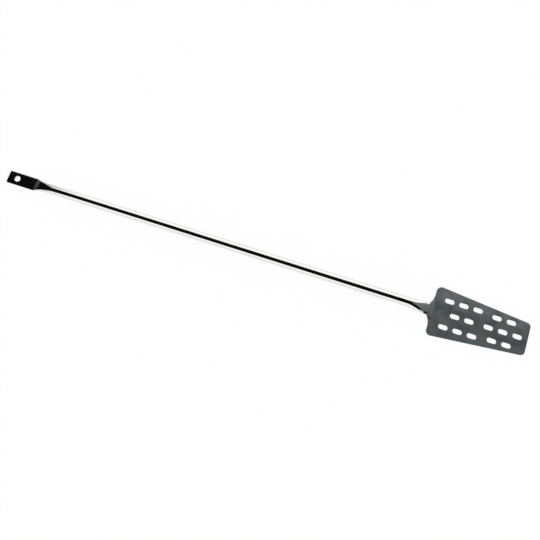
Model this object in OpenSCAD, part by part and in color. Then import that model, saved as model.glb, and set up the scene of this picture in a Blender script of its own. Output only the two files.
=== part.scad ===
// Stainless mash paddle: a slotted sheet blade welded into the pressed end of a tube handle.
// It lies flat, with the blade towards +X. The origin is the centre of the hanging hole.

/* [Overall] */
// Length from the end of the hanging tab to the tip of the blade
overall_l = 914; // [800:1:1100]

/* [Handle tube] */
// Outside diameter of the round tube
tube_d = 15.9; // [14:0.1:19]
// Wall of the tube
tube_wall = 1.5; // [1:0.1:2]
// Height of the tube's axis above the mid-plane of its pressed ends
axis_rise = 3.5; // [2:0.1:5]

/* [Hanging tab] */
// Length that is pressed flat at the hanging end
tab_l = 50; // [40:1:70]
// Length of the ramp between the flat tab and the round tube
tab_ramp_l = 42; // [30:1:60]
// Gap left between the two walls of the flat tab
tab_slit = 0.2; // [0.1:0.05:0.6]
// Radius of the two corners at the end of the tab
tab_corner_r = 2; // [1:0.5:6]
// Diameter of the hanging hole
hole_d = 10; // [6:0.5:12]
// Distance from the end of the tab to the centre of the hole
hole_inset = 17; // [12:0.5:24]

/* [Blade socket] */
// Length that is pressed flat round the blade's tang
socket_l = 6; // [4:0.5:12]
// Length of the ramp between the socket and the round tube
socket_ramp_l = 30; // [20:1:50]
// Gap between the tang and the socket on every side
tang_clearance = 0.05; // [0.02:0.01:0.2]
// Width of the tang inside the socket
tang_w = 14; // [8:0.5:15]
// Length of the tang inside the socket
tang_l = 12; // [6:0.5:18]

/* [Blade] */
// Length of the blade from its rear edge to its tip
blade_l = 155; // [150:1:220]
// Thickness of the blade's sheet
blade_t = 2; // [1:0.1:3]
// Width across the rear edge, measured to the sharp corners
blade_rear_w = 84; // [78:1:110]
// Width across the tip, measured to the sharp corners
blade_tip_w = 52.5; // [50:0.5:70]
// Radius of the rear corners
rear_corner_r = 8; // [3:0.5:9]
// Radius of the tip corners
tip_corner_r = 6.5; // [2:0.5:10]
// Length of the neck between the tube's mouth and the blade's rear edge
neck_l = 5.5; // [3:0.5:12]
// Radius of the hollow curve between the neck and the rear edge
scallop_r = 28; // [15:0.5:30]

/* [Slots] */
// Length of one slot, end to end
slot_l = 15.5; // [10:0.5:18]
// Width of one slot
slot_w = 8; // [4:0.5:10]
// Distance between neighbouring slots of a row
slot_pitch = 23.2; // [21:0.1:26]
// Distance that the middle row of a group lies nearer to the tip than the outer rows
row_stagger = 13.6; // [8:0.1:16]
// Distance from the rear edge to the first outer slot's centre
rear_margin = 24.2; // [18:0.1:27]
// Distance from the last middle slot's centre to the tip
tip_margin = 16.3; // [14:0.1:22]
// Distance of the rear group's outer rows from the centre line
rear_row_y = 21.9; // [16:0.1:24]
// Distance of the tip group's outer rows from the centre line
tip_row_y = 19; // [14:0.1:20]
// Number of slots in each outer row of the rear group
rear_outer_n = 3; // [1:1:3]
// Number of slots in the middle row of the tip group
tip_middle_n = 3; // [1:1:3]

/* [Weld] */
// Length of the dressed weld on the blade's face, from the tube's mouth
weld_l = 9; // [7:0.5:14]
// Distance that the weld follows the hollow curve outwards from the neck
weld_reach = 7; // [4:0.5:10]
// Thickness of the weld where it feathers out on the blade
weld_skin = 0.12; // [0.08:0.01:0.3]

/* [Hidden] */

// Shape of the pressed ramps: how fast they leave the flat, and how soft their shoulders are
tab_ramp_power = 3.2;
tab_softness = 0.12;
socket_ramp_power = 1.5;
socket_softness = 0.3;
ring_points = 40;
ramp_rings = 10;
ring_crowding = 1.4;
arc_steps = 12;
// The ramp's last ring lies this far inside the round tube, so that their surfaces share no edge
seam = 0.02;

// Shape of the weld: how fast it thins along the blade and how round its sides are
weld_thinning = 1.6;
weld_side_power = 8;
weld_end_share = 0.5;
weld_rows = 9;
weld_columns = 28;

tab_end_x = -hole_inset;
tab_round_x = tab_end_x + tab_l + tab_ramp_l;
tip_x = tab_end_x + overall_l;
rear_x = tip_x - blade_l;
mouth_x = rear_x - neck_l;
socket_round_x = mouth_x - socket_l - socket_ramp_l;
// The pressed gap is a clearance higher than the pocket that fits the tang
pocket_h = blade_t + 2 * tang_clearance;
socket_slit = pocket_h + tang_clearance;
tube_mid_r = (tube_d - tube_wall) / 2;
cut = 1;

// Half height and half flat of the pressed wall's middle line, from 0 at the flat to 1 at the round
function pressed_h(slit, p) = (slit + tube_wall) / 2 * (1 - p) + tube_mid_r * p;
function pressed_flat(slit, p) = 90 * PI / 180 * (tube_mid_r - pressed_h(slit, p));
function ramp_share(u, power) = 1 - pow(1 - u, power);

// Half width and half height of the tube's mouth, outside
mouth_half_w = pressed_flat(socket_slit, 0) + pressed_h(socket_slit, 0) + tube_wall / 2;
mouth_half_h = pressed_h(socket_slit, 0) + tube_wall / 2;

// The hollow curve starts at the mouth's corner and ends square to the rear edge
scallop_x = rear_x - scallop_r;
scallop_y = mouth_half_w + sqrt(pow(scallop_r, 2) - pow(scallop_r - neck_l, 2));
function scallop_half_w(x) = scallop_y - sqrt(pow(scallop_r, 2) - pow(x - scallop_x, 2));

// One ring of the tube's surface: a circle that is drawn out flat by the press
function ring(x, half_h, half_flat, softness, z) = [
    for (i = [0 : ring_points - 1])
        let (c = cos(360 * i / ring_points), s = sin(360 * i / ring_points))
        [x, sign(c) * half_flat * pow(abs(c), softness) + half_h * c, z + half_h * s]
];

// Surface of a pressed end, from x_start along dir: a flat of flat_l, then a ramp of ramp_l.
// offset is half a wall outwards for the outside and half a wall inwards for the inside.
module pressed_end(x_start, dir, flat_l, ramp_l, slit, power, softness, offset) {
    shares = [for (j = [0 : ramp_rings]) pow(j / ramp_rings, ring_crowding)];
    flat_ring = ring(x_start, pressed_h(slit, 0) + offset, pressed_flat(slit, 0), softness, 0);
    ramp = [
        for (u = shares)
            let (p = ramp_share(u, power))
            ring(x_start + dir * (flat_l + ramp_l * u), pressed_h(slit, p) + offset - seam * p,
                 pressed_flat(slit, p), softness, axis_rise * p)
    ];
    loft(concat([flat_ring], ramp), dir);
}

// Closed skin through rings of equal length that follow each other along dir
module loft(rings, dir) {
    n = len(rings[0]);
    last = len(rings) - 1;
    sides = [
        for (j = [0 : last - 1], i = [0 : n - 1])
            let (a = j * n + i, b = j * n + (i + 1) % n)
            each [[a, b, b + n], [a, b + n, a + n]]
    ];
    caps = [
        [for (i = [n - 1 : -1 : 0]) i],
        [for (i = [0 : n - 1]) last * n + i]
    ];
    faces = concat(sides, caps);
    points = [for (r = rings) each r];
    polyhedron(points, dir > 0 ? [for (f = faces) [for (k = [len(f) - 1 : -1 : 0]) f[k]]] : faces);
}

// Tube's solid shape at half a wall to either side of its middle line, run out past both ends
module tube_shape(offset, overrun) {
    pressed_end(tab_end_x - overrun, 1, tab_l + overrun, tab_ramp_l,
                tab_slit, tab_ramp_power, tab_softness, offset);
    pressed_end(mouth_x + overrun, -1, socket_l + overrun, socket_ramp_l,
                socket_slit, socket_ramp_power, socket_softness, offset);
    translate([tab_round_x, 0, axis_rise])
        rotate([0, 90, 0])
            cylinder(h = socket_round_x - tab_round_x, r = tube_mid_r + offset, $fn = ring_points);
}

// Square corner less a quarter round, to trim the end of the tab
module corner_trim() {
    tab_half_w = pressed_flat(tab_slit, 0) + pressed_h(tab_slit, 0) + tube_wall / 2;
    translate([tab_end_x + tab_corner_r, tab_half_w - tab_corner_r, -tube_d / 2])
        difference() {
            translate([-tab_corner_r - cut, 0, 0]) cube([tab_corner_r + cut, tab_corner_r + cut, tube_d]);
            translate([0, 0, -cut]) cylinder(h = tube_d + 2 * cut, r = tab_corner_r, $fn = 48);
        }
}

// Round stainless tube, pressed flat at both ends: a hanging tab and a socket for the blade
module handle_tube() {
    color([0.86, 0.87, 0.88])
        difference() {
            tube_shape(tube_wall / 2, 0);
            tube_shape(-tube_wall / 2, cut);
            translate([mouth_x - tang_l - tang_clearance, -tang_w / 2 - tang_clearance, -pocket_h / 2])
                cube([tang_l + tang_clearance + cut, tang_w + 2 * tang_clearance, pocket_h]);
            translate([0, 0, -tube_d / 2]) cylinder(h = tube_d, d = hole_d, $fn = 64);
            corner_trim();
            mirror([0, 1, 0]) corner_trim();
        }
}

// Points of an arc about a centre, from one angle to another
function arc(centre, r, from, to) = [
    for (i = [0 : arc_steps])
        let (a = from + (to - from) * i / arc_steps)
        centre + r * [cos(a), sin(a)]
];

// Upper half of the blade's outline, from the tang's end to the tip
function half_outline() =
    let (
        slope = atan2((blade_rear_w - blade_tip_w) / 2, blade_l),
        rear_c = [rear_x + rear_corner_r, blade_rear_w / 2 - rear_corner_r * tan(45 + slope / 2)],
        tip_c = [tip_x - tip_corner_r, blade_tip_w / 2 - tip_corner_r * tan(45 - slope / 2)],
        neck_angle = asin((scallop_y - mouth_half_w) / scallop_r)
    )
    concat(
        [[mouth_x - tang_l, tang_w / 2], [mouth_x, tang_w / 2]],
        arc([scallop_x, scallop_y], scallop_r, -neck_angle, 0),
        arc(rear_c, rear_corner_r, 180, 90 - slope),
        arc(tip_c, tip_corner_r, 90 - slope, 0)
    );

// One slot with round ends, along the blade
module slot(x, y) {
    straight = slot_l - slot_w;
    translate([x - straight / 2, y - slot_w / 2]) square([straight, slot_w]);
    for (end = [-1, 1])
        translate([x + end * straight / 2, y]) circle(d = slot_w, $fn = 48);
}

// Two staggered groups: 3, 2 and 3 slots at the rear, and 2, 3 and 2 at the tip
module slots() {
    for (i = [0 : rear_outer_n - 1], side = [-1, 1])
        slot(rear_x + rear_margin + i * slot_pitch, side * rear_row_y);
    for (i = [0 : 1 : rear_outer_n - 2])
        slot(rear_x + rear_margin + row_stagger + i * slot_pitch, 0);
    for (i = [0 : tip_middle_n - 1])
        slot(tip_x - tip_margin - i * slot_pitch, 0);
    for (i = [0 : 1 : tip_middle_n - 2], side = [-1, 1])
        slot(tip_x - tip_margin - row_stagger - i * slot_pitch, side * tip_row_y);
}

// Punched sheet blade with its neck and the tang that sits in the tube's socket
module blade() {
    upper = half_outline();
    lower = [for (i = [len(upper) - 1 : -1 : 0]) [upper[i][0], -upper[i][1]]];
    color([0.36, 0.38, 0.39])
        translate([0, 0, -blade_t / 2])
            linear_extrude(blade_t)
                difference() {
                    polygon(concat(upper, lower));
                    slots();
                }
}

// Weld on one face of the neck, dressed smooth from the tube's wall down to the blade
module weld_bead() {
    reach_y = mouth_half_w + weld_reach;
    reach_x = scallop_x + sqrt(pow(scallop_r, 2) - pow(scallop_y - reach_y, 2));
    end_x = mouth_x + weld_l;
    rise = mouth_half_h - blade_t / 2 - weld_skin;
    function half_w(x) = x < reach_x
        ? scallop_half_w(x)
        : reach_y * (1 - weld_end_share * pow((x - reach_x) / (end_x - reach_x), 2));
    function top_z(x, v) = blade_t / 2 + weld_skin
        + rise * pow(1 - (x - mouth_x) / weld_l, weld_thinning) * sqrt(1 - pow(abs(v), weld_side_power));
    xs = [for (j = [0 : weld_rows]) mouth_x + weld_l * j / weld_rows];
    vs = [for (i = [0 : weld_columns]) sin(90 * (2 * i / weld_columns - 1))];
    rings = [
        for (x = xs) concat(
            [for (v = vs) [x, v * half_w(x), top_z(x, v)]],
            [[x, half_w(x), blade_t / 2], [x, -half_w(x), blade_t / 2]]
        )
    ];
    loft(rings, 1);
}

module top_weld() {
    color([0.55, 0.56, 0.57]) weld_bead();
}

module under_weld() {
    color([0.55, 0.56, 0.57]) mirror([0, 0, 1]) weld_bead();
}

handle_tube();
blade();
top_weld();
under_weld();
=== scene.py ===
# A stainless mash paddle, lying blade to the right on a pale floor under soft studio light.
# Sizes are in metres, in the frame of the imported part: the origin is the hanging hole's centre.
import math

import bpy
from mathutils import Matrix, Vector


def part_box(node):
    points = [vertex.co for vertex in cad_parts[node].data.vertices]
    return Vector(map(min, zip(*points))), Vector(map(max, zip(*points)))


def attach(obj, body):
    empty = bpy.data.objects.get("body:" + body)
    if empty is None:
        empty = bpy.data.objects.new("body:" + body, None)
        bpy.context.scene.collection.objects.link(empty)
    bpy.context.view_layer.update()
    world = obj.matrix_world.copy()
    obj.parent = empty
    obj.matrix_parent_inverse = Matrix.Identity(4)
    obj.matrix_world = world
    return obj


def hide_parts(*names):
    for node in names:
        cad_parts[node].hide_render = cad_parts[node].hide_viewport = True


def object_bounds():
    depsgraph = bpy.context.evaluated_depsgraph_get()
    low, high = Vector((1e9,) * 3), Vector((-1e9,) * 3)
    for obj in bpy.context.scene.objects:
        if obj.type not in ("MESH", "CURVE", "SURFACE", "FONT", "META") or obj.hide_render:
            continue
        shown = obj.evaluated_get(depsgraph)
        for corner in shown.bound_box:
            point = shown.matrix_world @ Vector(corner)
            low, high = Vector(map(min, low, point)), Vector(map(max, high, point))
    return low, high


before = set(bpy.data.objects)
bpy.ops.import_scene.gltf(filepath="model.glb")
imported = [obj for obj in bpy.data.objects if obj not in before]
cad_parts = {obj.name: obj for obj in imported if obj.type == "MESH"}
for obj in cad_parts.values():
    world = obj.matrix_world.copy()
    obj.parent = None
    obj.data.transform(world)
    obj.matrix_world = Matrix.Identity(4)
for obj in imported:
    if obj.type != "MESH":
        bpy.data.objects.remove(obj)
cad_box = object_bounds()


# Handle tube
# One length of polished stainless tube, pressed flat at both ends: at the far end as a tab with
# a hole to hang it by, and at the near end as a socket round the blade's tang. The press keeps
# the wall's length, so the flats are wider than the tube. The socket's top was dressed with the weld.
class Wire:
    """A socket of a node tree. Sums and the like on wires add their Math nodes."""

    def __init__(self, tree, socket):
        self.tree = tree
        self.socket = socket

    def node(self, kind, settings, sockets, out=0):
        """Adds any node: its settings are set first, then the values or links of its sockets."""
        made = self.tree.nodes.new(kind)
        for name, value in settings.items():
            setattr(made, name, value)
        for key, value in sockets.items():
            for one in value if isinstance(value, list) else [value]:
                if isinstance(one, Wire):
                    self.tree.links.new(one.socket, made.inputs[key])
                else:
                    made.inputs[key].default_value = one
        return Wire(self.tree, made.outputs[out])

    def maths(self, operation, *values, clamp=False):
        settings = {"operation": operation, "use_clamp": clamp}
        return self.node("ShaderNodeMath", settings, dict(enumerate(values)))

    def __add__(self, other):
        return self.maths("ADD", self, other)

    def __sub__(self, other):
        return self.maths("SUBTRACT", self, other)

    def __rsub__(self, other):
        return self.maths("SUBTRACT", other, self)

    def __mul__(self, other):
        return self.maths("MULTIPLY", self, other)

    def __truediv__(self, other):
        return self.maths("DIVIDE", self, other)

    def __pow__(self, other):
        return self.maths("POWER", self, other)

    def __neg__(self):
        return self.maths("MULTIPLY", self, -1.0)

    def __abs__(self):
        return self.maths("ABSOLUTE", self)

    __radd__ = __add__
    __rmul__ = __mul__

    def held(self):
        """The value held between 0 and 1."""
        return self.maths("ADD", self, 0.0, clamp=True)

    def rise(self, low, high):
        """Goes smoothly from 0 to 1 as the value goes from low to high."""
        sockets = {"Value": self, "From Min": low, "From Max": high}
        return self.node("ShaderNodeMapRange", {"interpolation_type": "SMOOTHSTEP"}, sockets)

    def axes(self):
        """The three numbers of a vector."""
        split = self.node("ShaderNodeSeparateXYZ", {}, {0: self}).socket.node
        return [Wire(self.tree, output) for output in split.outputs]

    def stretched(self, along, across, upright):
        """A vector with each of its axes scaled, to draw a pattern out along one of them."""
        settings = {"operation": "MULTIPLY"}
        return self.node("ShaderNodeVectorMath", settings, {0: self, 1: (along, across, upright)})

    def noise(self, scale, detail=2.0, roughness=0.5):
        """Noise from 0 to 1 at this place, with scale features to a metre."""
        sockets = {"Vector": self, "Scale": scale, "Detail": detail, "Roughness": roughness}
        return self.node("ShaderNodeTexNoise", {"normalize": True}, sockets)

    def blend(self, first, second):
        """The first colour where the wire is 0, and the second where it is 1."""
        return self.node("ShaderNodeMix", {"data_type": "RGBA"}, {0: self, 6: first, 7: second}, out=2)


def metal(name, build):
    """A bare metal. build takes the place on the piece and gives colour, roughness and height."""
    material = bpy.data.materials.new(name)
    material.use_nodes = True
    tree = material.node_tree
    shader = next(n for n in tree.nodes if n.type == "BSDF_PRINCIPLED")
    place = Wire(tree, tree.nodes.new("ShaderNodeTexCoord").outputs["Object"])
    colour, roughness, height, depth = build(place)
    bump = place.node("ShaderNodeBump", {}, {"Strength": 1.0, "Distance": depth, "Height": height})
    shader.inputs["Metallic"].default_value = 1.0
    tree.links.new(colour.socket, shader.inputs["Base Color"])
    tree.links.new(roughness.socket, shader.inputs["Roughness"])
    tree.links.new(bump.socket, shader.inputs["Normal"])
    return material


def grow(name, sizes, finish, shape, outline=None):
    """A plain mesh from a Geometry Nodes tree with a named input for each size."""
    tree = bpy.data.node_groups.new(name, "GeometryNodeTree")
    tree.interface.new_socket("Geometry", in_out="OUTPUT", socket_type="NodeSocketGeometry")
    tree.interface.new_socket("Outline", in_out="INPUT", socket_type="NodeSocketGeometry")
    kinds = {int: "NodeSocketInt", float: "NodeSocketFloat", bpy.types.Material: "NodeSocketMaterial"}
    values = {**sizes, "Finish": finish}
    named = {
        label: tree.interface.new_socket(label, in_out="INPUT", socket_type=kinds[type(value)])
        for label, value in values.items()
    }
    entry = tree.nodes.new("NodeGroupInput")
    wires = {label: Wire(tree, entry.outputs[label]) for label in values}
    made = shape(Wire(tree, entry.outputs["Outline"]), wires)
    made = made.node("GeometryNodeRealizeInstances", {}, {0: made})
    made = made.node("GeometryNodeSetMaterial", {}, {"Geometry": made, "Material": wires["Finish"]})
    tree.links.new(made.socket, tree.nodes.new("NodeGroupOutput").inputs[0])
    start = bpy.data.objects.new(name + "_start", outline or bpy.data.meshes.new(name + "_start"))
    bpy.context.scene.collection.objects.link(start)
    rule = start.modifiers.new(name, "NODES")
    rule.node_group = tree
    for label, value in values.items():
        rule[named[label].identifier] = value
    return settle(start, name)


def settle(start, name):
    """A new object with the mesh that start's modifiers make. start is removed."""
    seen = start.evaluated_get(bpy.context.evaluated_depsgraph_get())
    mesh = bpy.data.meshes.new_from_object(seen)
    bpy.data.objects.remove(start)
    mesh.name = name
    made = bpy.data.objects.new(name, mesh)
    bpy.context.scene.collection.objects.link(made)
    return made


def deburr(piece, radius, segments, least_angle):
    """Breaks the piece's sharp edges and shades it smoothly, with its flats kept flat."""
    piece.data.shade_smooth()
    edge = piece.modifiers.new("broken_edges", "BEVEL")
    edge.width = radius
    edge.segments = segments
    edge.limit_method = "ANGLE"
    edge.angle_limit = math.radians(least_angle)
    piece.modifiers.new("flat_flats", "WEIGHTED_NORMAL").keep_sharp = True
    return settle(piece, piece.name)


tube_low, tube_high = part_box("handle_tube")
TAB_END = tube_low.x
MOUTH = tube_high.x
TUBE_D = tube_high.z - tube_low.z
AXIS_Z = (tube_high.z + tube_low.z) / 2
TUBE_WALL = 0.0015
TUBE_MID_R = (TUBE_D - TUBE_WALL) / 2
TAB_L = 0.050
TAB_RAMP_L = 0.042
TAB_SLIT = 0.0002
SOCKET_L = 0.006
SOCKET_RAMP_L = 0.030
SOCKET_SLIT = 0.00215
SOCKET_POWER = 1.5

# Radius of the broken edges at the tube's ends, and how much of the pressed flat was dressed
TUBE_EDGE_R = 0.00018
DRESSED_SHARE = 0.93

# Half height and half flat of the wall's middle line where the socket is pressed flat
SOCKET_MID_H = (SOCKET_SLIT + TUBE_WALL) / 2
SOCKET_FLAT = math.pi / 2 * (TUBE_MID_R - SOCKET_MID_H)
MOUTH_HALF_W = SOCKET_FLAT + SOCKET_MID_H + TUBE_WALL / 2
MOUTH_HALF_H = SOCKET_MID_H + TUBE_WALL / 2


def pressed_tube(_, size):
    """Wraps a grid round the tube: its rows go out along the wall's outside and back inside."""
    stretches = ["Tab Rings", "Tab Ramp Rings", "Plain Rings", "Socket Ramp Rings", "Socket Rings"]
    last_ring = sum((size[label] for label in stretches[1:]), size[stretches[0]])
    rings = last_ring + 1
    sockets = {"Size X": 1.0, "Size Y": 1.0, "Vertices X": rings * 2 + 1, "Vertices Y": size["Sides"] + 1}
    grid = rings.node("GeometryNodeMeshGrid", {}, sockets)
    row, column, _ = grid.node("GeometryNodeInputPosition", {}, {}).axes()
    row = ((row + 0.5) * (rings * 2)).maths("ROUND", (row + 0.5) * (rings * 2))
    row = row.maths("MODULO", row, rings * 2)
    turn_back = rings - 0.5
    side = row.maths("SIGN", turn_back - row)
    ring = turn_back - abs(row - turn_back)

    shares = []
    for label in stretches:
        shares.append((ring / size[label]).held())
        ring = ring - size[label]
    tab, tab_ramp, plain, socket_ramp, socket = shares
    tab_u = tab_ramp ** size["Crowding"]
    # The bend out of the tab starts gently
    bend = size["Tab Bend"]
    tab_bent_u = tab_u ** 2.0 * (bend + 1) / (tab_u + bend)
    socket_u = (1 - socket_ramp) ** size["Crowding"]
    socket_start = size["Length"] - size["Socket Length"]
    socket_round = socket_start - size["Socket Ramp"]
    tab_round = size["Tab Length"] + size["Tab Ramp"]
    x = (
        size["Tab Length"] * tab
        + size["Tab Ramp"] * tab_u
        + (socket_round - tab_round) * plain
        + size["Socket Ramp"] * (1 - socket_u)
        + size["Socket Length"] * socket
    )

    # The share of the way from flat to round, at the tab's end and at the socket's end
    tab_round_share = 1 - (1 - tab_bent_u) ** size["Tab Power"]
    socket_round_share = 1 - (1 - socket_u) ** size["Socket Power"]
    roundness = tab_round_share * socket_round_share
    at_socket = x.maths("GREATER_THAN", x, tab_round)
    slit = size["Tab Slit"] + (size["Socket Slit"] - size["Tab Slit"]) * at_socket
    softness = size["Tab Softness"] + (size["Socket Softness"] - size["Tab Softness"]) * at_socket
    mid_r = (size["Diameter"] - size["Wall"]) / 2
    mid_h = (slit + size["Wall"]) / 2 * (1 - roundness) + mid_r * roundness
    half_flat = (mid_r - mid_h) * (math.pi / 2)
    half_h = mid_h + side * size["Wall"] / 2
    turn = (column + 0.5) * -math.tau
    cosine = turn.maths("COSINE", turn)
    sine = turn.maths("SINE", turn)
    y = cosine.maths("SIGN", cosine) * half_flat * abs(cosine) ** softness + half_h * cosine
    z = half_h * sine + size["Axis Rise"] * roundness

    # The tab's end has two rounded corners, which draw its first rings back
    tab_half_w = (mid_r - (size["Tab Slit"] + size["Wall"]) / 2) * (math.pi / 2)
    tab_half_w = tab_half_w + size["Tab Slit"] / 2 + size["Wall"]
    corner_r = size["Corner Radius"]
    into_corner = abs(y) - tab_half_w + corner_r
    into_corner = into_corner.maths("MAXIMUM", into_corner, 0.0)
    into_corner = into_corner.maths("MINIMUM", into_corner, corner_r)
    drawn_back = corner_r - (corner_r ** 2.0 - into_corner ** 2.0) ** 0.5
    x = x + drawn_back * (1 - x / (corner_r * 2)).held() + size["Start"]
    place = x.node("ShaderNodeCombineXYZ", {}, {0: x, 1: y, 2: z})
    wall = grid.node("GeometryNodeSetPosition", {}, {"Geometry": grid, "Position": place})
    wall = wall.node("GeometryNodeMergeByDistance", {}, {"Geometry": wall, "Distance": 1e-7})

    # The hole goes through both walls and has a small chamfer on each face
    hole_r = size["Hole Diameter"] / 2
    chamfer = size["Hole Chamfer"]
    flat_z = size["Tab Slit"] / 2 + size["Wall"]
    sockets = {"Vertices": size["Hole Sides"], "Radius": hole_r, "Depth": flat_z * 4}
    cutters = [hole_r.node("GeometryNodeMeshCylinder", {}, sockets)]
    for face in (-1, 1):
        wide, narrow = ("Radius Top", "Radius Bottom") if face > 0 else ("Radius Bottom", "Radius Top")
        sockets = {"Vertices": size["Hole Sides"], "Depth": chamfer * 2}
        sockets.update({wide: hole_r + chamfer * 2, narrow: hole_r})
        cone = hole_r.node("GeometryNodeMeshCone", {}, sockets)
        low = flat_z - chamfer if face > 0 else -(flat_z + chamfer)
        shift = low.node("ShaderNodeCombineXYZ", {}, {2: low})
        cutters.append(cone.node("GeometryNodeTransform", {}, {"Geometry": cone, "Translation": shift}))
    settings = {"operation": "DIFFERENCE", "solver": "EXACT"}
    return wall.node("GeometryNodeMeshBoolean", settings, {"Mesh 1": wall, "Mesh 2": cutters})


def polished(place):
    """Polished tube: fine lines along it, and a satin face where the socket was dressed."""
    along, across, upright = place.axes()
    lines = place.stretched(0.012, 1.0, 1.0).noise(5200.0, 3.0)
    smears = place.stretched(0.3, 1.0, 1.0).noise(90.0, 3.0)
    # The dressed face is the pressed flat, a wedge that narrows up the tube
    up_the_ramp = ((along - (MOUTH - SOCKET_L - SOCKET_RAMP_L)) / SOCKET_RAMP_L).held()
    face_half_w = up_the_ramp ** SOCKET_POWER * (SOCKET_FLAT * DRESSED_SHARE)
    ragged = lines * 0.0006 + smears * 0.0006
    dressed = (face_half_w - abs(across) - ragged).rise(-0.0006, 0.0004) * upright.rise(0.0, 0.001)
    pressed = 1 - along.rise(TAB_END + TAB_L - 0.004, TAB_END + TAB_L + 0.004)
    bright = smears.blend((0.985, 0.98, 0.97, 1.0), (0.93, 0.925, 0.915, 1.0))
    colour = dressed.blend(bright, (0.54, 0.57, 0.58, 1.0))
    roughness = 0.055 + smears * (0.04 - pressed * 0.03) + dressed * (0.29 + lines * 0.08)
    return colour, roughness, lines * (dressed * 3.0 + 1.0 - pressed * 0.7), 0.0000015


tube = grow(
    "handle_tube_wall",
    {
        "Start": TAB_END,
        "Length": MOUTH - TAB_END,
        "Diameter": TUBE_D,
        "Wall": TUBE_WALL,
        "Axis Rise": AXIS_Z,
        "Tab Length": TAB_L,
        "Tab Ramp": TAB_RAMP_L,
        "Tab Slit": TAB_SLIT,
        "Tab Power": 3.2,
        "Tab Bend": 0.09,
        "Tab Softness": 0.04,
        "Socket Length": SOCKET_L,
        "Socket Ramp": SOCKET_RAMP_L,
        "Socket Slit": SOCKET_SLIT,
        "Socket Power": SOCKET_POWER,
        "Socket Softness": 0.3,
        "Corner Radius": 0.003,
        "Hole Diameter": 0.010,
        "Hole Chamfer": 0.00035,
        "Crowding": 1.4,
        "Hole Sides": 96,
        "Sides": 96,
        "Tab Rings": 12,
        "Tab Ramp Rings": 40,
        "Plain Rings": 40,
        "Socket Ramp Rings": 40,
        "Socket Rings": 4,
    },
    metal("polished_tube", polished),
    pressed_tube,
)
tube = deburr(tube, TUBE_EDGE_R, segments=3, least_angle=70)
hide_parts("handle_tube")
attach(tube, "root")


# Blade
# One tapered piece of satin stainless sheet, with rounded corners and a hollow curve on each side
# of its neck. The press punches fifteen round-ended slots in two staggered groups, and all its
# cut edges are broken. Its tang goes on into the tube's socket.
blade_low, blade_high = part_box("blade")
TIP = blade_high.x
BLADE_T = blade_high.z - blade_low.z
BLADE_L = 0.155
REAR_HALF_W = 0.042
TIP_HALF_W = 0.02625
REAR_R = 0.008
TIP_R = 0.0065
SCALLOP_R = 0.028
TANG_HALF_W = 0.007
BLADE_EDGE_R = 0.0003
# Where the painted light on the blade's long sides begins and where it is full, out from its middle line
PAINTED_LIGHT_FROM = 0.008
PAINTED_LIGHT_TO = 0.026
REAR = TIP - BLADE_L
NECK_L = REAR - MOUTH

# The hollow curve starts at the mouth's corner and ends along the rear edge
SCALLOP_X = REAR - SCALLOP_R
SCALLOP_Y = MOUTH_HALF_W + math.sqrt(SCALLOP_R**2 - (SCALLOP_R - NECK_L) ** 2)


def arc(centre_x, centre_y, radius, start, end, steps=24):
    """Points of an arc from one angle to another, in degrees."""
    angles = [math.radians(start + (end - start) * i / steps) for i in range(steps + 1)]
    return [(centre_x + radius * math.cos(a), centre_y + radius * math.sin(a)) for a in angles]


def blade_outline():
    """The blade's edge as one closed line, from the tang round the tip and back."""
    slope = math.degrees(math.atan2(REAR_HALF_W - TIP_HALF_W, BLADE_L))
    neck = math.degrees(math.asin((SCALLOP_Y - MOUTH_HALF_W) / SCALLOP_R))
    rear_y = REAR_HALF_W - REAR_R * math.tan(math.radians(45 + slope / 2))
    tip_y = TIP_HALF_W - TIP_R * math.tan(math.radians(45 - slope / 2))
    upper = [(blade_low.x, TANG_HALF_W), (MOUTH, TANG_HALF_W)]
    upper += arc(SCALLOP_X, SCALLOP_Y, SCALLOP_R, -neck, 0)
    upper += arc(REAR + REAR_R, rear_y, REAR_R, 180, 90 - slope)
    upper += arc(TIP - TIP_R, tip_y, TIP_R, 90 - slope, 0)
    line = upper + [(x, -y) for x, y in reversed(upper)]
    mesh = bpy.data.meshes.new("blade_outline")
    edges = [(i, (i + 1) % len(line)) for i in range(len(line))]
    mesh.from_pydata([(x, y, 0.0) for x, y in line], edges, [])
    return mesh


# A slot's ends are rounded by just under half its width, so that their arcs don't run together
FULL_ROUND = 0.4999


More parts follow.
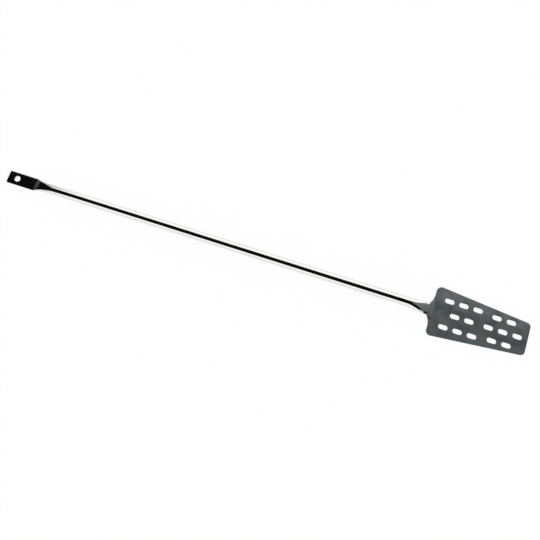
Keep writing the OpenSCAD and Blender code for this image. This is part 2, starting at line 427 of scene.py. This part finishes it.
def punched_sheet(outline, size):
    """Fills the outline less the slots, and gives the sheet its thickness."""
    edge = outline.node("GeometryNodeMeshToCurve", {}, {"Mesh": outline})
    sockets = {"Width": size["Slot Length"], "Height": size["Slot Width"]}
    slot = edge.node("GeometryNodeCurvePrimitiveQuadrilateral", {}, sockets)
    sockets = {"Curve": slot, "Radius": size["Slot Width"] * FULL_ROUND, "Count": size["End Points"]}
    slot = slot.node("GeometryNodeFilletCurve", {"mode": "POLY"}, sockets)
    rear_x = size["Tip"] - size["Blade Length"] + size["Rear Margin"]
    tip_x = size["Tip"] - size["Tip Margin"]
    rows = [
        (rear_x, size["Rear Row"], size["Row Slots"], size["Pitch"]),
        (rear_x, -size["Rear Row"], size["Row Slots"], size["Pitch"]),
        (rear_x + size["Stagger"], 0.0, size["Row Slots"] - 1, size["Pitch"]),
        (tip_x, 0.0, size["Row Slots"], -size["Pitch"]),
        (tip_x - size["Stagger"], size["Tip Row"], size["Row Slots"] - 1, -size["Pitch"]),
        (tip_x - size["Stagger"], -size["Tip Row"], size["Row Slots"] - 1, -size["Pitch"]),
    ]
    lines = []
    for x, y, count, pitch in rows:
        first = x.node("ShaderNodeCombineXYZ", {}, {0: x, 1: y})
        step = x.node("ShaderNodeCombineXYZ", {}, {0: pitch})
        sockets = {"Count": count, "Start Location": first, "Offset": step}
        lines.append(x.node("GeometryNodeMeshLine", {"mode": "OFFSET"}, sockets))
    places = edge.node("GeometryNodeJoinGeometry", {}, {0: lines})
    slots = edge.node("GeometryNodeInstanceOnPoints", {}, {"Points": places, "Instance": slot})
    slots = edge.node("GeometryNodeRealizeInstances", {}, {0: slots})
    both = edge.node("GeometryNodeJoinGeometry", {}, {0: [edge, slots]})
    face = edge.node("GeometryNodeFillCurve", {"mode": "TRIANGLES"}, {"Curve": both})
    drop = edge.node("ShaderNodeCombineXYZ", {}, {2: size["Thickness"] / -2})
    face = edge.node("GeometryNodeSetPosition", {}, {"Geometry": face, "Offset": drop})
    sockets = {"Mesh": face, "Offset Scale": size["Thickness"], "Individual": False}
    raised = edge.node("GeometryNodeExtrudeMesh", {"mode": "FACES"}, sockets)
    under = edge.node("GeometryNodeFlipFaces", {}, {"Mesh": face})
    sheet = edge.node("GeometryNodeJoinGeometry", {}, {0: [raised, under]})
    return edge.node("GeometryNodeMergeByDistance", {}, {"Geometry": sheet, "Distance": 1e-6})


def satin(place):
    """Satin sheet: a fine grain along it, blotches, painted light that makes its long sides brighter, and
    painted shade that darkens the rougher walls where it is cut.
    """
    _, across, upright = place.axes()
    grain = place.stretched(0.02, 1.0, 1.0).noise(3800.0, 3.0)
    clouds = place.noise(48.0, 4.0, 0.6)
    specks = place.noise(340.0, 2.0)
    # Painted shade: the walls where the sheet is cut are coloured nearly black, for the shade they catch and
    # reflect; the cut is also rougher and pitted
    cut_wall_and_painted_shade = 1 - abs(upright).rise(BLADE_T * 0.36, BLADE_T * 0.46)
    # Painted light: the sheet is coloured lighter towards its long sides, for the way the light falls there
    painted_light_sides = abs(across).rise(PAINTED_LIGHT_FROM, PAINTED_LIGHT_TO)
    shade = (clouds * 3.4 - 1.0 - painted_light_sides * 0.45).held()
    sheet = shade.blend((0.395, 0.448, 0.476, 1.0), (0.240, 0.259, 0.256, 1.0))
    # The cut walls take their painted shade here
    colour = cut_wall_and_painted_shade.blend(sheet, (0.05, 0.05, 0.05, 1.0))
    roughness = 0.40 + clouds * 0.06 + grain * 0.04 + specks * 0.02 + cut_wall_and_painted_shade * 0.1
    return colour, roughness, grain + cut_wall_and_painted_shade * specks * 4.0, 0.0000014


blade = grow(
    "blade_sheet",
    {
        "Tip": TIP,
        "Blade Length": BLADE_L,
        "Thickness": BLADE_T,
        "Slot Length": 0.0155,
        "Slot Width": 0.008,
        "Pitch": 0.0232,
        "Stagger": 0.0136,
        "Rear Margin": 0.0242,
        "Tip Margin": 0.0163,
        "Rear Row": 0.0219,
        "Tip Row": 0.019,
        "Row Slots": 3,
        "End Points": 12,
    },
    metal("satin_sheet", satin),
    punched_sheet,
    blade_outline(),
)
blade = deburr(blade, BLADE_EDGE_R, segments=3, least_angle=40)
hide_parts("blade")
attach(blade, "root")


# Welds
# A run of weld on each face joins the tube's mouth to the blade's neck, and follows the hollow
# curve a little way out. Both are ground and dressed, so that the tube's flat runs down into the
# blade with no step, and their sides are rounded over.
weld_low, weld_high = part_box("top_weld")
WELD_L = weld_high.x - weld_low.x
WELD_REACH_Y = weld_high.y
WELD_ROWS = 40
WELD_COLUMNS = 72
WELD_SKIN = 0.00004
WELD_SIDE_POWER = 8
WELD_DRAWN_IN = 0.5


def curve_half_w(x):
    """Half width of the blade at the hollow curve."""
    return SCALLOP_Y - math.sqrt(max(SCALLOP_R**2 - (x - SCALLOP_X) ** 2, 0.0))


def weld_half_w(x):
    """Half width of the weld: along the hollow curve, and then drawn in over the blade."""
    reach_x = SCALLOP_X + math.sqrt(SCALLOP_R**2 - (SCALLOP_Y - WELD_REACH_Y) ** 2)
    if x < reach_x:
        return curve_half_w(x)
    return WELD_REACH_Y * (1 - WELD_DRAWN_IN * ((x - reach_x) / (MOUTH + WELD_L - reach_x)) ** 2)


def weld_mesh(name, up):
    """The weld's skin on the face that points up (1) or down (-1), closed along the blade."""
    points = []
    for j in range(WELD_ROWS + 1):
        share = j / WELD_ROWS
        x = MOUTH + WELD_L * share
        half_w = weld_half_w(x)
        fall = 1 - share * share * (3 - 2 * share)
        for i in range(WELD_COLUMNS + 1):
            v = math.sin(math.pi / 2 * (2 * i / WELD_COLUMNS - 1))
            rise = (MOUTH_HALF_H - BLADE_T / 2 - WELD_SKIN) * fall * math.sqrt(1 - abs(v) ** WELD_SIDE_POWER)
            points.append((x, v * half_w, up * (BLADE_T / 2 + WELD_SKIN + rise)))
        points.append((x, half_w, up * BLADE_T / 2))
        points.append((x, -half_w, up * BLADE_T / 2))
    ring = WELD_COLUMNS + 3
    faces = [
        [j * ring + i, j * ring + (i + 1) % ring, (j + 1) * ring + (i + 1) % ring, (j + 1) * ring + i]
        for j in range(WELD_ROWS)
        for i in range(ring)
    ]
    faces += [list(range(ring - 1, -1, -1)), [WELD_ROWS * ring + i for i in range(ring)]]
    mesh = bpy.data.meshes.new(name)
    mesh.from_pydata(points, [], [face[::-1] for face in faces] if up > 0 else faces)
    return mesh


def dressed(place):
    """Ground weld: short scratches along the tube, brighter on its rounded sides, hardly any tint."""
    _, across, _ = place.axes()
    scratches = place.stretched(0.05, 1.0, 1.0).noise(4200.0, 3.0)
    heat = place.noise(160.0, 2.0)
    side = abs(across).rise(MOUTH_HALF_W * 0.9, MOUTH_HALF_W * 1.25)
    colour = (heat * 0.6 + side * 0.4).blend((0.37, 0.415, 0.435, 1.0), (0.38, 0.41, 0.42, 1.0))
    roughness = 0.40 + scratches * 0.06 - side * 0.12
    return colour, roughness, scratches, 0.000003


weld_finish = metal("dressed_weld", dressed)
for name, up in (("top_weld", 1), ("under_weld", -1)):
    weld = bpy.data.objects.new(name + "_run", weld_mesh(name + "_run", up))
    bpy.context.scene.collection.objects.link(weld)
    weld.data.materials.append(weld_finish)
    weld.data.shade_smooth()
    weld.data.set_sharp_from_angle(angle=math.radians(70))
    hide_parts(name)
    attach(weld, "root")


# Floor
# A pale table that the paddle lies on. The camera and the metal see it nearly white, and it
# keeps the paddle's soft shadow.
def stage_material(name, build):
    """A material for the stage. build takes a wire to start from and gives the surface."""
    material = bpy.data.materials.new(name)
    material.use_nodes = True
    tree = material.node_tree
    tree.nodes.clear()
    output = tree.nodes.new("ShaderNodeOutputMaterial")
    surface = build(Wire(tree, tree.nodes.new("ShaderNodeLightPath").outputs["Is Camera Ray"]))
    tree.links.new(surface.socket, output.inputs["Surface"])
    return material


def panel(name, low, high, material):
    """A flat rectangle of the stage between two corners, level or standing across the paddle."""
    (x_0, y_0, z_0), (x_1, y_1, z_1) = low, high
    points = [(x_0, y_0, z_0), (x_1, y_0, z_1), (x_1, y_1, z_1), (x_0, y_1, z_0)]
    mesh = bpy.data.meshes.new(name)
    mesh.from_pydata(points, [], [(0, 1, 2, 3)])
    mesh.materials.append(material)
    made = bpy.data.objects.new(name, mesh)
    bpy.context.scene.collection.objects.link(made)
    return made


FLOOR_Z = cad_box[0].z
FLOOR_HALF = 7.0

# The share of plain white that the camera and the metal see, and how much duller the metal's is
GLOW_TO_CAMERA = 0.92
GLOW_TO_METAL = 0.9
METAL_DIMMING = 0.2


def pale_floor(camera_ray):
    """White to the camera and the metal, with a share that takes the shadow."""
    rays = camera_ray.socket.node.outputs
    seen = camera_ray.maths("MAXIMUM", camera_ray, Wire(camera_ray.tree, rays["Is Transmission Ray"]))
    metal_ray = Wire(camera_ray.tree, rays["Is Glossy Ray"])
    seen = seen.maths("MAXIMUM", seen * GLOW_TO_CAMERA, metal_ray * GLOW_TO_METAL)
    plain = seen.node("ShaderNodeBsdfDiffuse", {}, {"Color": (0.95, 0.95, 0.95, 1.0)})
    strength = 1 - metal_ray * METAL_DIMMING
    glow = seen.node("ShaderNodeEmission", {}, {"Color": (1.0, 1.0, 1.0, 1.0), "Strength": strength})
    top = seen.node("ShaderNodeMixShader", {}, {0: seen, 1: plain, 2: glow})
    clear = seen.node("ShaderNodeBsdfTransparent", {}, {})
    below = seen.node("ShaderNodeNewGeometry", {}, {}, out="Backfacing")
    return top.node("ShaderNodeMixShader", {}, {0: below, 1: top, 2: clear})


table = stage_material("pale_table", pale_floor)
panel("floor", (-FLOOR_HALF, -FLOOR_HALF, FLOOR_Z), (FLOOR_HALF, FLOOR_HALF, FLOOR_Z), table)


# Cards
# Matt black cards hang level above the camera and stand past both ends of the paddle, with a
# beige strip under the one past the tab and a grey card beside it. Only the metal sees them, so
# that its faces and the middle of the tube go dark, as polished steel does on a white table.
CARD_TOP = 0.963
CARD_LEFT = -0.75
CARD_RIGHT = 1.6
CARD_NEAR = -1.45
CARD_FAR = 0.46
TAB_CARD_RIGHT = -0.55
TAB_CARD_FAR = 0.8
PAST_TAB_FAR = 1.0
GREY_FAR = 1.6
PAST_BLADE_NEAR = -0.3
PAST_BLADE_LOW = 0.1
STRIP_TOP = 0.17


def paper(name, colour):
    """Unlit paper of one colour, so that it stays the same whatever the lamps do."""

    def build(camera_ray):
        return camera_ray.node("ShaderNodeEmission", {}, {"Color": colour, "Strength": 1.0})

    return stage_material(name, build)


black = paper("black_paper", (0.004, 0.004, 0.004, 1.0))
grey = paper("grey_paper", (0.45, 0.45, 0.45, 1.0))
beige = paper("beige_paper", (0.06, 0.05, 0.036, 1.0))
past_blade = (CARD_RIGHT, PAST_BLADE_NEAR, PAST_BLADE_LOW)
for name, material, low, high in (
    ("card_over_tube", black, (CARD_LEFT, CARD_NEAR, CARD_TOP), (CARD_RIGHT, CARD_FAR, CARD_TOP)),
    ("card_over_tab", black, (CARD_LEFT, CARD_FAR, CARD_TOP), (TAB_CARD_RIGHT, TAB_CARD_FAR, CARD_TOP)),
    ("card_past_tab", black, (CARD_LEFT, CARD_NEAR, STRIP_TOP), (CARD_LEFT, PAST_TAB_FAR, CARD_TOP)),
    ("strip_past_tab", beige, (CARD_LEFT, CARD_NEAR, FLOOR_Z), (CARD_LEFT, PAST_TAB_FAR, STRIP_TOP)),
    ("grey_past_tab", grey, (CARD_LEFT, PAST_TAB_FAR, FLOOR_Z), (CARD_LEFT, GREY_FAR, CARD_TOP)),
    ("card_past_blade", black, past_blade, (CARD_RIGHT, CARD_FAR, CARD_TOP)),
):
    card = panel(name, low, high, material)
    card.visible_camera = False
    card.visible_diffuse = False
    card.visible_transmission = False
    card.visible_volume_scatter = False
    card.visible_shadow = False


# Light
# A white room lights the paddle evenly from all round, as a light tent does.
world = bpy.data.worlds.new("white_room")
world.use_nodes = True
room = world.node_tree.nodes["Background"]
room.inputs["Color"].default_value = (1.0, 1.0, 1.0, 1.0)
room.inputs["Strength"].default_value = 1.0
bpy.context.scene.world = world
bpy.context.scene.view_settings.view_transform = "Standard"


# Camera
# It looks down on the paddle from just under a metre, turned so that the handle runs from the
# upper left to the lower right.
CAMERA_PLACE = Vector((0.58724, -0.23668, 0.96258))
CAMERA_AIM = Vector((0.47314, -0.01833, 0.0))
CAMERA_RIGHT = Vector((0.94661, 0.31993, -0.03964))
camera = bpy.data.objects.new("camera", bpy.data.cameras.new("camera"))
bpy.context.scene.collection.objects.link(camera)
camera.data.lens = 40.0
camera.data.sensor_width = 36.0
backwards = (CAMERA_PLACE - CAMERA_AIM).normalized()
upwards = backwards.cross(CAMERA_RIGHT).normalized()
turned = Matrix((upwards.cross(backwards), upwards, backwards)).transposed()
camera.matrix_world = Matrix.Translation(CAMERA_PLACE) @ turned.to_4x4()
bpy.context.scene.camera = camera
